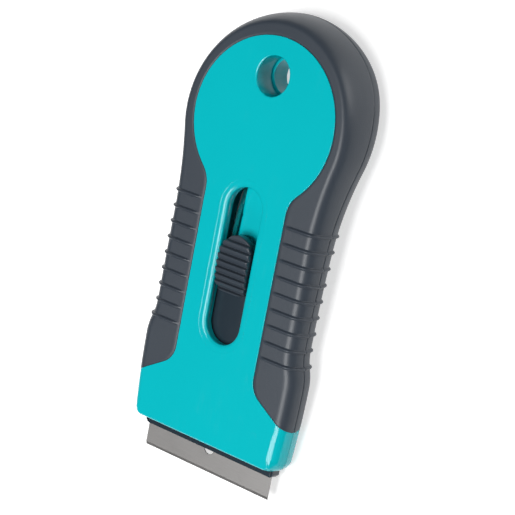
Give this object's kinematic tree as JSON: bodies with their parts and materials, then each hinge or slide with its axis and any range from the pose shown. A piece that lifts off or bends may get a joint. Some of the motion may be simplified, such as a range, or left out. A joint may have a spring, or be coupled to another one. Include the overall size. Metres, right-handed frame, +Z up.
{
  "type": "ceramic hob scraper",
  "caption": "Hand scraper for ceramic hobs: flat waisted body with soft ribbed grips, round head with hang hole, sliding steel blade and thumb button.",
  "frame": {"origin": "on the table under the middle of the scraper's box, on its midline", "axes": "+X across the scraper, +Y along it from the blade to the round head, +Z up from the table towards the front face with the button"},
  "size_m": [0.0516, 0.1121, 0.0132],
  "materials": {
    "teal_plastic": "gloss, moulded",
    "grey_grip": "satin soft-touch overmould",
    "dark_plastic": "satin, moulded",
    "blade_steel": "fine ground",
    "spring_steel": "rolled strip",
    "screw_steel": "zinc plated"
  },
  "bodies": {
    "housing": {"front_shell": "teal_plastic", "front_grip": "grey_grip", "rear_shell": "teal_plastic", "rear_grip": "grey_grip", "housing_screws": "screw_steel"},
    "slider": {"blade_carrier": "dark_plastic", "blade_clamp": "dark_plastic", "blade": "blade_steel", "thumb_button": "dark_plastic", "detent_spring_left": "spring_steel", "detent_spring_right": "spring_steel"}
  },
  "joints": [
    {"name": "blade_slide", "type": "slide", "parent": "housing", "child": "slider", "axis": [0, 0.9973, 0.0734], "range_m": [-0.01087, 0.01145]}
  ]
}
